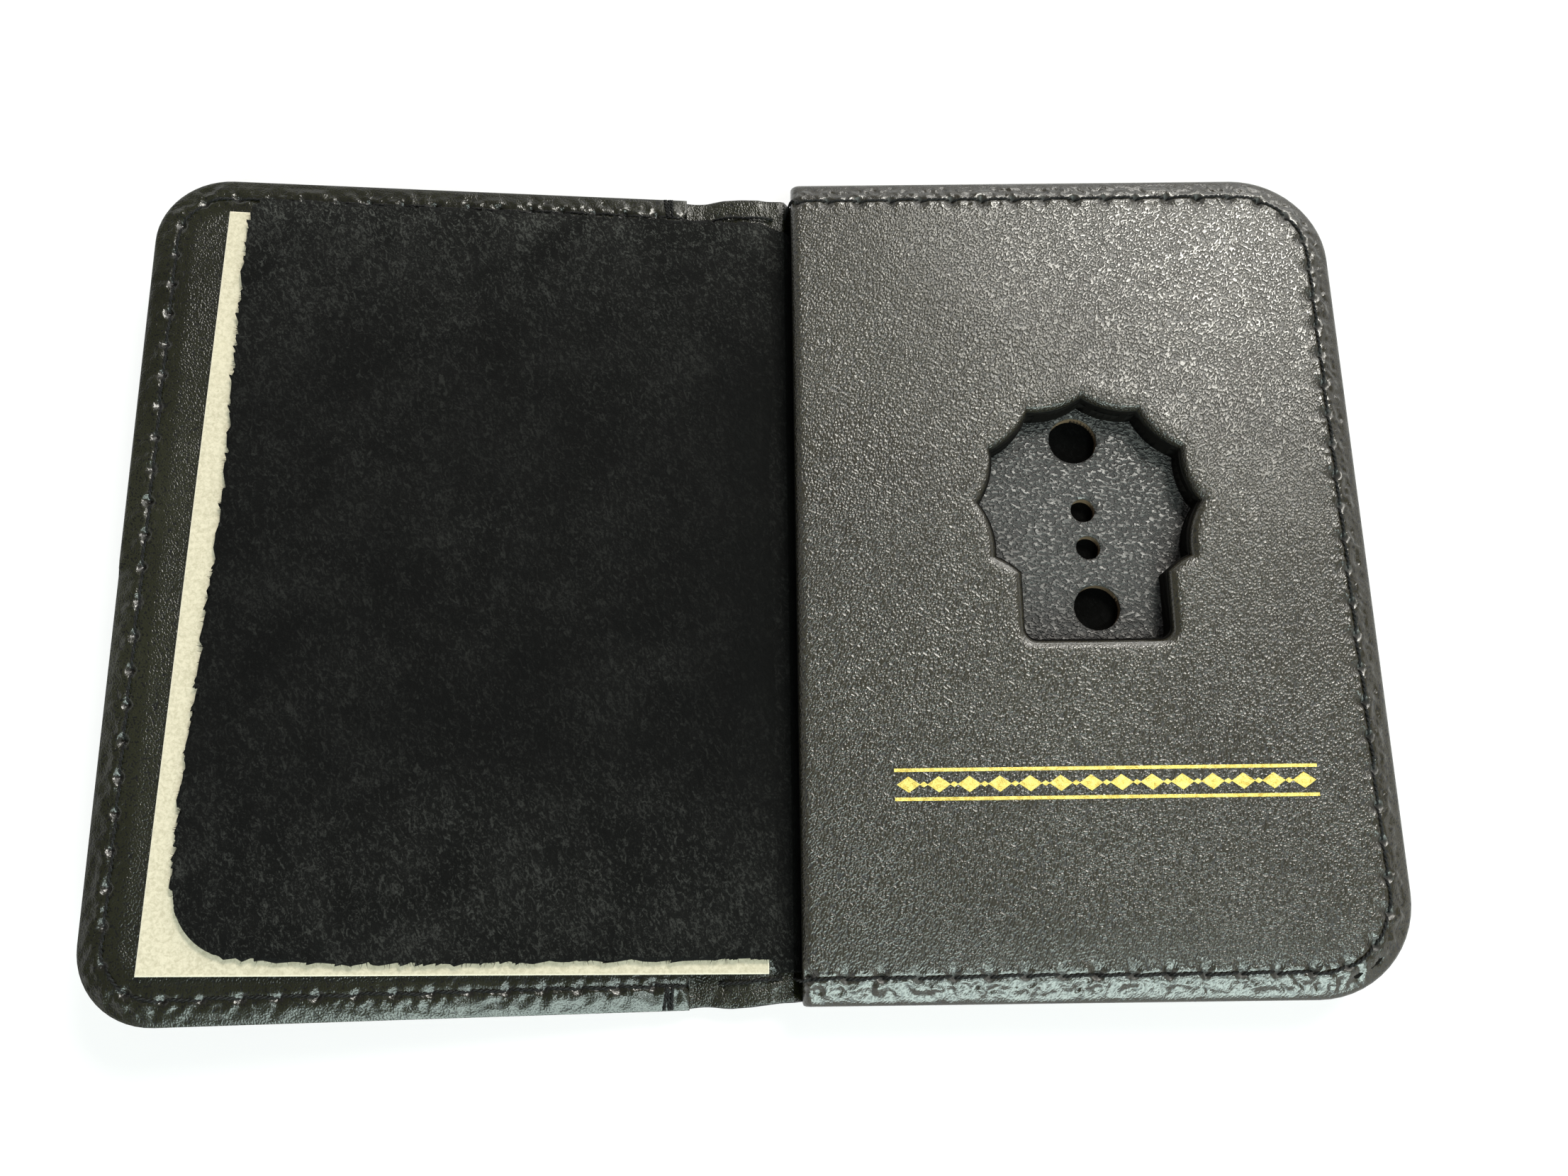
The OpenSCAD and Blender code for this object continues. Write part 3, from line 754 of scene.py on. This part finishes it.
def outside(line, start, side, origin):  # the stitch on the outside of the cover, under the seam
    def path(share):
        x, y, heading = line.point(start + share * line.spacing)
        slope = -seam["slant"] * (2 * share - 1)
        spot = Vector((origin + side * (x - math.sin(heading) * slope), y + math.cos(heading) * slope, seam["outer"]))
        layOpen(spot)
        return spot, Vector((side * math.cos(heading), math.sin(heading), 0)), Vector((0, 0, -1))
    return path


def sewSide(line, side, origin, level):  # one side's seam, inside and outside
    bm = bmesh.new()
    for i in range(line.count):
        a = line.start + i * line.spacing
        sway = chance.uniform(-seam["sway"], seam["sway"])

        def path(share, a=a, sway=sway):
            x, y, heading = stitchPlace(line, a, share, sway)
            spot = Vector((origin + side * x, y, level(x, y, 1 - abs(2 * share - 1))))
            if side < 0:
                layOpen(spot)
            return spot, Vector((side * math.cos(heading), math.sin(heading), 0)), Vector((0, 0, 1))
        sew(bm, path, seam["dive"])
        sew(bm, outside(line, a, side, origin), seam["dive"])
    return bm


def makeBadgeThread():
    def level(x, y, hump):
        return panelHeight(x, y) + thread["badgeProud"] + thread["badgeHump"] * hump

    bm = sewSide(badgeSeam, 1, panelLow.x, level)
    for end in (-1, 1):  # at both ends the thread climbs from the spine over the turned edge
        y = end * seamHead

        def climb(share, y=y, end=end):
            x = panelLow.x - 1.5 + 2.4 * share
            z = linedTop + 0.2 + (panelHeight(0.9, y) + 0.1 - linedTop) * ramp(share * 1.25)
            spot = Vector((x, y + end * 0.3 * math.sin(3 * share), z))
            return spot, Vector((0.55, 0, 0.83)), Vector((-0.83, 0, 0.55))
        sew(bm, climb, 0.1)
    piece(bm, "threadBadgeSide", "thread", "badge_side", ["stitches_badge_side"])


def makeSpineThread():
    bm = bmesh.new()
    for end in (-1, 1):
        head = end * seamHead
        marks = [nearFold.x - near - spineWidth * share for near, share in thread["spineHoles"]]
        for a, b in zip(marks, marks[1:]):
            tilt = chance.uniform(-thread["spineTilt"], thread["spineTilt"])

            def across(share, tilt, level, up, a=a, b=b, head=head):
                spot = Vector((a + (b - a) * share, head + tilt * (share - 0.5), level))
                layOpen(spot)
                return spot, Vector((-1, 0, 0)), Vector((0, 0, up))
            sew(bm, lambda share: across(share, tilt, linedTop + thread["spineProud"], 1), thread["spineDive"])
            sew(bm, lambda share: across(share, 0, seam["outer"], -1), seam["dive"])
    piece(bm, "threadSpine", "thread", "spine", ["stitches_spine"])


def makeCardThread():
    def level(x, y, hump):
        top = linedTop + pocket["thick"] + pocketHeight(x, y)
        return top + thread["pocketProud"] + thread["pocketHump"] * hump

    bm = sewSide(pocketSeam, -1, pocketMouth, level)
    piece(bm, "threadCardSide", "thread", "card_side", ["stitches_card_side"])


# Three short stitches whip each end of the pocket's mouth over the cover's edge
tacks = {"leans": (0.35, -0.25, 0.1), "first": 2.9, "apart": 0.4, "long": 3.5, "edge": 0.12, "bend": 2.88,
         "steep": 3.0, "dip": 0.4, "dipFrom": 52.0, "proud": 0.06}


def makeTacks():
    bm = bmesh.new()
    for end in (-1, 1):
        for n, lean in enumerate(tacks["leans"]):
            def path(share, end=end, n=n, lean=lean):
                x = tacks["first"] - tacks["apart"] * n + lean * (share - 0.5)
                out = share * tacks["long"]
                y = min(seamHead + out, coverHeight / 2 - tacks["edge"])
                drop = max(0.0, out - tacks["bend"])
                dip = tacks["dip"] * ramp((y - tacks["dipFrom"]) / 2)
                z = linedTop + pocket["thick"] + tacks["proud"] - drop * tacks["steep"] - dip
                spot = Vector((pocketMouth - x, end * y, z))
                layOpen(spot)
                return spot, Vector((0, end, 0)), Vector((0, 0, 1))
            sew(bm, path, 0.0)
    piece(bm, "pocketTacks", "thread", "card_side", ["pocket_tacks"])


makeBadgeThread()
makeSpineThread()
makeCardThread()
makeTacks()


# Black suede: the tail under the badge panel, the root up the spine, and the leaf that turns over
suede = {"thick": 0.8, "rootThick": 0.7, "edge": 0.2, "height": 97.5, "up": 0.15, "reach": 71.7, "footR": 9.0,
         "headR": 2.0, "grid": 1.6, "below": 3.15, "curl": 0.85, "frayed": 0.62, "fringe": 1.2, "tuck": 1.9,
         "raise": 0.8, "hang": 0.5, "wave": 0.16, "ripple": 0.06, "crumple": 0.28, "shag": 0.05, "tailEdge": 0.25,
         "tailGrid": 4, "rootWide": 9.6, "hairs": 420}


def makeTail():
    bm = outline(0, badgeWidth, coverHeight, {(1, 1): roundBadge, (1, -1): roundBadge})
    thicken(bm, suede["thick"], suede["tailEdge"])
    chequer(bm, 0, badgeWidth, coverHeight, suede["tailGrid"])
    paint(bm, "cutEdge", lambda p: 0.0)
    bmesh.ops.translate(bm, vec=(panelLow.x, 0, linedTop), verts=bm.verts)
    # The tail takes the darker copy of the suede, as painted shade
    piece(bm, "suedeTail", "tailShadeSuede", "badge_side", ["leaf_tail"])


def makeRoot():
    bm = outline(panelLow.x - suede["rootWide"], panelLow.x + 0.05, suede["height"], {})
    bmesh.ops.translate(bm, vec=(0, suede["up"], 0), verts=bm.verts)
    thicken(bm, suede["rootThick"], suede["edge"])
    rule(bm, "x", [nearFold.x + 0.45 * k for k in range(-5, 5)] + steps(panelLow.x - 9, nearFold.x - 2.5, 1.2))
    rule(bm, "y", steps(-48, 48, 3))
    paint(bm, "cutEdge", lambda p: 0.0)
    # Painted shade: the root is darkened along its middle, where it lies in the dark gap beside the panel, less so
    # towards head and foot
    paint(bm, "shaded", lambda p: 0.75 - 0.6 * ramp((abs(p.y) - 40) / 8))
    for v in bm.verts:
        v.co.y -= suede["tuck"] * ramp((-40 - v.co.y) / 9) * ramp((v.co.x - 1.5) / 0.8)
        v.co.z += linedTop + 0.03 + 0.1 * max(0.0, wander(v.co.x, v.co.y, 7, 3.0))
        layOpen(v.co, skew=False)
    made = piece(bm, "suedeRoot", "suede")
    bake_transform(made)


def onLeaf(r, y, z):  # from the leaf's own plane to the open wallet
    grow = 1 + spring["grow"]
    spot = Vector((leafAxis.x - r * grow, y * grow + 0.4, leafAxis.z + z))
    turnedBy(spot, leafAxis.x, leafAxis.z, 2 * halfLift)
    return spot


# How far the free edge of the leaf bows out, at heights up the leaf
bow = [(-49, 0.35), (-42, -0.1), (-31, 0.1), (-20, -0.4), (-9, -0.6), (2, -1.2), (10, -1.25), (22, -1.2),
       (32, -0.75), (49, -1.15)]


def bowed(y):
    for (a, u), (b, w) in zip(bow, bow[1:]):
        if y <= b:
            return u + (w - u) * max(0.0, (y - a) / (b - a))
    return bow[-1][1]


def footRise(r, y):  # the foot edge climbs to its corner and hangs lower at the spine
    return (suede["raise"] * ramp((r - 46) / 18) - suede["hang"] * ramp(1 - r / 4)) * ramp((-30 - y) / 10)


def makeLeaf():
    bm = outline(0, suede["reach"], suede["height"], {(1, 1): suede["headR"], (1, -1): suede["footR"]})
    thicken(bm, suede["thick"], suede["edge"])
    chequer(bm, 0, suede["reach"], suede["height"], suede["grid"])
    bm.normal_update()
    half = suede["height"] / 2

    def edge(p):
        return min(suede["reach"] - p.x, half - abs(p.y))

    finer(bm, lambda c: edge(c) < 2.2, 3)
    finer(bm, lambda c: edge(c) < 0.9, 1)
    paint(bm, "cutEdge", lambda p: 1.0 if edge(p) < 0.15 or p.z < 0.3 and edge(p) < 0.6 else 0.0)
    # Painted light and shade: the leaf is darker in its middle and towards the spine, lighter towards head and foot
    # and lightest in a band along the head
    paint(bm, "shaded", lambda p: 0.68 - 0.42 * ramp((abs(p.y) - 20) / 24) - 0.7 * bell((p.y - 47.5) / 2.2)
          + 0.22 * ramp((16 - p.x) / 14) * ramp((42 - abs(p.y)) / 15) + 0.12 * wander(p.x, p.y, 9, 15.0))
    for v in bm.verts:
        r, y, z = v.co
        fringe = ramp(1 - edge(v.co) / suede["fringe"])
        fray = suede["frayed"] * fringe * (wander(r, y, 0.8, 1.0) + 0.6 * wander(r, y, 0.35, 2.0))
        r2 = r + (bowed(y) * ramp((r - 50) / 20) + fray) * (1 if r > 1 else 0)
        y2 = y + fray * (1 if y > 0 else -1)
        if y > half - 1.2 and r < 2.6:  # the head corner is cut back at the fold
            y2 -= 0.9 * (1 - r / 2.6)
        y2 += footRise(r, y)
        wave = suede["wave"] * wander(r, y, 24, 6.0) + suede["ripple"] * wander(r, y, 7, 9.0)
        crumple = suede["crumple"] * bell((r - 3) / 5) * bell((y + 47) / 4) * wander(r, y, 2.1, 4.0)
        lifted = max(0.0, wave + 0.12) * ramp(edge(v.co) / 3 + 0.35)
        curl = suede["curl"] * ramp(1 - r / 3.2)
        shag = suede["shag"] * wander(r, y, 0.6, 12.0) * (z / suede["thick"])
        v.co = onLeaf(r2, y2 + suede["up"], z - suede["below"] + lifted + crumple + shag - curl)
    return bm


def addFibres(bm):  # loose hairs along the cut edges
    half = suede["height"] / 2
    for n in range(suede["hairs"]):
        walk = chance.random()
        if walk < 0.55:
            r, y, out = suede["reach"] - 0.1, chance.uniform(-half + 8, half - 2), Vector((1, 0))
            r += bowed(y)
        elif walk < 0.85:
            r, y, out = chance.uniform(3, suede["reach"] - 8), -half + 0.1, Vector((0, -1))
            y += footRise(r, y)
        else:
            r, y, out = chance.uniform(3, suede["reach"] - 3), half - 0.1, Vector((0, 1))
        root = Vector((r, y)) - out * 0.25
        tip = root + out * chance.uniform(0.4, 0.95) + Vector((-out.y, out.x)) * chance.uniform(-0.45, 0.45)
        across = (tip - root).orthogonal().normalized() * chance.uniform(0.03, 0.09)
        level = chance.uniform(0.1, 0.7) - suede["below"]
        hair = bmesh.ops.create_cone(bm, cap_ends=True, cap_tris=True, segments=3, radius1=across.length,
                                     radius2=0.008, depth=1.0)["verts"]
        a = onLeaf(root.x, root.y + suede["up"], level)
        b = onLeaf(tip.x, tip.y + suede["up"], level + chance.uniform(-0.1, 0.12))
        turn = (b - a).to_track_quat("Z", "Y").to_matrix().to_4x4()
        size = Matrix.Diagonal((1, 1, (b - a).length, 1))
        bmesh.ops.transform(bm, verts=hair, matrix=Matrix.Translation((a + b) / 2) @ turn @ size)


makeTail()
makeRoot()
leafMesh = makeLeaf()
addFibres(leafMesh)
leaf = piece(leafMesh, "suedeLeaf", "suede", "leaf", ["suede_leaf"])


# The loose card between the leaf and the pocket
card = {"wide": 72.2, "high": 96.9, "thick": 0.35, "edge": 0.07, "rim": 0.2, "turn": 0.8, "down": 1.55,
        "inset": 8.35, "room": 0.1, "grid": 3.0}


def makeCard():
    # how far the card side's outer edge lies from the leaf's fold
    edge = (1 + spineWidth * math.cos(halfLift)) * math.cos(2 * halfLift) \
        - spineWidth * (0.5 - math.sin(halfLift)) * math.sin(2 * halfLift) + pocketWidth + mouthGap
    middle = edge - card["inset"] - card["wide"] / 2
    halfWide, halfHigh = card["wide"] / 2, card["high"] / 2
    bm = outline(-halfWide, halfWide, card["high"], {})
    thicken(bm, card["thick"], card["edge"], 1)
    for axis, half in (("x", halfWide), ("y", halfHigh)):
        rule(bm, axis, steps(-half, half, card["grid"]) + [card["rim"] - half, half - card["rim"]])
    paint(bm, "cutEdge", lambda p: 1.0 if min(halfWide - abs(p.x), halfHigh - abs(p.y)) < card["rim"] / 2 else 0.0)
    bmesh.ops.rotate(bm, verts=bm.verts, matrix=Matrix.Rotation(math.radians(card["turn"]), 3, "Z"))
    for v in bm.verts:
        v.co = onLeaf(v.co.x + middle, v.co.y - card["down"], v.co.z - suede["below"] - card["room"] - card["thick"])
    piece(bm, "creamCard", "card", "card", ["loose_card"])


makeCard()


# Grey suede on the recess floor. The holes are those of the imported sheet: middle and radius
floor = {"grid": 2.4, "shown": 4.1, "top": 4.2, "slub": 0.04, "crumb": 0.07, "rim": 0.05, "groove": 0.12,
         "sunk": 0.05,
         "holes": [(42.5727, 17.0764, 3.2), (43.2563, 7.3002, 1.6), (43.6121, 2.2127, 1.6), (44.1771, -5.8676, 3.0)]}


def makeFloor():
    bm = packedCopy("recess_floor")
    trimCorners(bm, face["trim"])
    bmesh.ops.dissolve_limit(bm, angle_limit=0.02, verts=bm.verts, edges=bm.edges)
    chequer(bm, panelLow.x + 1, panelHigh.x, coverHeight, floor["grid"])
    bm.normal_update()
    finer(bm, lambda c: (c.xy - recessMiddle.xy).length < 21 and c.z > floor["shown"], 3)
    finer(bm, lambda c: (c.xy - recessMiddle.xy).length < 20 and c.z > floor["shown"], 1)

    def rim(p):
        return min(abs((p.xy - Vector((x, y))).length - r) for x, y, r in floor["holes"])

    paint(bm, "cutEdge", lambda p: 1.0 if p.z < floor["shown"] else 0.0)
    for v in bm.verts:
        x, y, z = v.co
        if z > floor["top"]:
            nap = floor["slub"] * wander(x, y, 1.3, 2.0) + floor["crumb"] * wander(x / 1.5, y, 0.55, 4.0)
            edge = floor["rim"] * bell((rim(v.co) - 0.5) / 0.35)
            v.co.z += nap + edge - floor["groove"] * bell(rim(v.co) / 0.25) - floor["sunk"]
    piece(bm, "recessSuede", "greySuede", "badge_side", ["recess_floor"])


makeFloor()


# A plain gilt rule across the foot of the panel
gilt = {"x0": 11.5, "x1": 63.0, "y": -28.6, "line": 0.42, "gap": 1.75, "lozenge": 1.25, "dot": 0.45, "pitch": 3.7,
        "thick": 0.07, "pressed": 0.02}


def makeGilt():
    bm = bmesh.new()

    def stamp(verts):
        lift(bm, list({f for v in verts for f in v.link_faces}), gilt["thick"])

    for side in (-1, 1):
        bar = bmesh.ops.create_grid(bm, x_segments=44, y_segments=1, size=0.5)["verts"]
        bmesh.ops.scale(bm, vec=(gilt["x1"] - gilt["x0"], gilt["line"], 1), verts=bar)
        bmesh.ops.translate(bm, vec=((gilt["x0"] + gilt["x1"]) / 2, gilt["y"] + side * gilt["gap"], 0), verts=bar)
        stamp(bar)
    count = int((gilt["x1"] - gilt["x0"] - 2) // gilt["pitch"])
    for i in range(count + 1):
        x = (gilt["x0"] + gilt["x1"]) / 2 + (i - count / 2) * gilt["pitch"]
        for reach, dx in ((gilt["lozenge"], 0.0), (gilt["dot"], gilt["pitch"] / 2)):
            if dx and i == count:  # no dot after the last lozenge
                continue
            diamond = bmesh.ops.create_circle(bm, cap_ends=True, segments=4, radius=reach)["verts"]
            bmesh.ops.scale(bm, vec=(1.15, 0.78, 1), verts=diamond)
            bmesh.ops.translate(bm, vec=(x + dx, gilt["y"], 0), verts=diamond)
            stamp(diamond)
    for v in bm.verts:
        x, y, z = v.co
        v.co = Vector((x + panelLow.x, y, z + panelHeight(x, y) - gilt["pressed"]))
    piece(bm, "giltRule", "foil", "badge_side")


makeGilt()


# The boards show at the panel's edges and round the recess
boards = {"badge_backing": ("backingBoard", "brownBoard", "brown_board"),
          "spacer_lower": ("lowerSpacer", "darkShadedBoard", "dark_board"),
          "spacer_upper": ("upperSpacer", "darkShadedBoard", "dark_board")}
for node, (name, finish, slot) in boards.items():
    board = packedCopy(node)
    trimCorners(board, face["trim"])
    piece(board, name, finish, "badge_side", [node], smooth=30)


# Table, light and camera
studio = {"world": 0.22, "floor": (0.86, 0.86, 0.86), "glow": 0.72, "reach": 1.9, "rise": 1.1, "sweep": 0.5,
          "middle": 1.2, "under": 0.05}


def makeStage():
    bm = bmesh.new()
    bmesh.ops.create_circle(bm, cap_ends=True, segments=96, radius=studio["reach"])
    rim = bmesh.ops.extrude_edge_only(bm, edges=bm.edges[:])["geom"]
    bmesh.ops.translate(bm, vec=(0, 0, studio["rise"]), verts=[g for g in rim if isinstance(g, bmesh.types.BMVert)])
    bm.normal_update()
    corner = [e for e in bm.edges if len(e.link_faces) == 2 and e.calc_face_angle() > 1]
    bmesh.ops.bevel(bm, geom=corner, offset=studio["sweep"], offset_type="OFFSET", segments=12, profile=0.5,
                    affect="EDGES", material=-1)
    middle = Vector((0, 0, studio["middle"]))
    bmesh.ops.reverse_faces(bm, faces=[f for f in bm.faces if f.normal.dot(middle - f.calc_center_median()) < 0])
    bmesh.ops.translate(bm, vec=(0, 0, -studio["under"] * mm), verts=bm.verts)
    mesh = bpy.data.meshes.new("table")
    bm.to_mesh(mesh)
    bm.free()
    table = bpy.data.objects.new("table", mesh)
    bpy.context.scene.collection.objects.link(table)
    finish = Finish("paleTable", {"Roughness": 0.9, "Base Color": tone(*studio["floor"])})
    tree = finish.tree
    camera, glossy, through = (finish.node("ShaderNodeLightPath", {}, {}, f"Is {ray} Ray")
                               for ray in ("Camera", "Glossy", "Transmission"))
    seen = camera + glossy + through
    white = tree.nodes.new("ShaderNodeEmission")
    white.inputs["Color"].default_value = tone(1, 1, 1)
    both = tree.nodes.new("ShaderNodeMixShader")
    tree.links.new((seen * studio["glow"]).socket, both.inputs[0])
    tree.links.new(finish.shader.outputs[0], both.inputs[1])
    tree.links.new(white.outputs[0], both.inputs[2])
    out = next(n for n in tree.nodes if n.type == "OUTPUT_MATERIAL")
    tree.links.new(both.outputs[0], out.inputs[0])
    mesh.materials.append(finish.material)

    world = bpy.data.worlds.new("studio")
    bpy.context.scene.world = world
    world.use_nodes = True
    world.node_tree.nodes["Background"].inputs["Color"].default_value = tone(1, 1, 1)
    world.node_tree.nodes["Background"].inputs["Strength"].default_value = studio["world"]


lamps = {
    "overhead": {"place": (0.345, 0.475, 0.70), "size": (0.36, 0.22), "watts": 7.4, "tint": (1.0, 0.975, 0.90)},
    "windowLow": {"place": (0.18, -0.76, 0.52), "size": (0.8, 0.34), "watts": 8.6, "tint": (0.82, 1.0, 0.94)},
    "frontTop": {"place": (0.22, -0.34, 0.76), "size": (0.38, 0.12), "watts": 2.5, "tint": (0.86, 1.0, 0.95)},
    "backRight": {"place": (0.52, 0.92, 0.46), "size": (0.8, 0.26), "watts": 3.4, "tint": (1.0, 0.98, 0.93)},
}


def makeLamps():
    for name, lamp in lamps.items():
        light = bpy.data.lights.new(name, "AREA")
        light.shape = "RECTANGLE"
        light.size, light.size_y = lamp["size"]
        light.energy = lamp["watts"]
        light.color = lamp["tint"]
        made = bpy.data.objects.new(name, light)
        made.location = lamp["place"]
        made.visible_camera = False
        made.rotation_euler = (-Vector(lamp["place"])).to_track_quat("-Z", "Y").to_euler()
        bpy.context.scene.collection.objects.link(made)


eye = {"place": (3.013, -42.309, 159.993), "turn": (-0.248603, 0.00467559, 0.0117264), "lens": 28.48}


def makeCamera():
    data = bpy.data.cameras.new("eye")
    data.sensor_width, data.lens = 36, eye["lens"]
    data.clip_start, data.clip_end = 0.005, 10
    made = bpy.data.objects.new("eye", data)
    rx, ry, rz = eye["turn"]
    toCamera = Matrix.Rotation(rz, 3, "Z") @ Matrix.Rotation(ry, 3, "Y") @ Matrix.Rotation(rx, 3, "X")
    made.matrix_world = Matrix.Translation(Vector(eye["place"]) * mm) @ toCamera.transposed().to_4x4()
    bpy.context.scene.collection.objects.link(made)
    bpy.context.scene.camera = made


makeStage()
makeLamps()
makeCamera()
bpy.context.scene.view_settings.view_transform = "Standard"
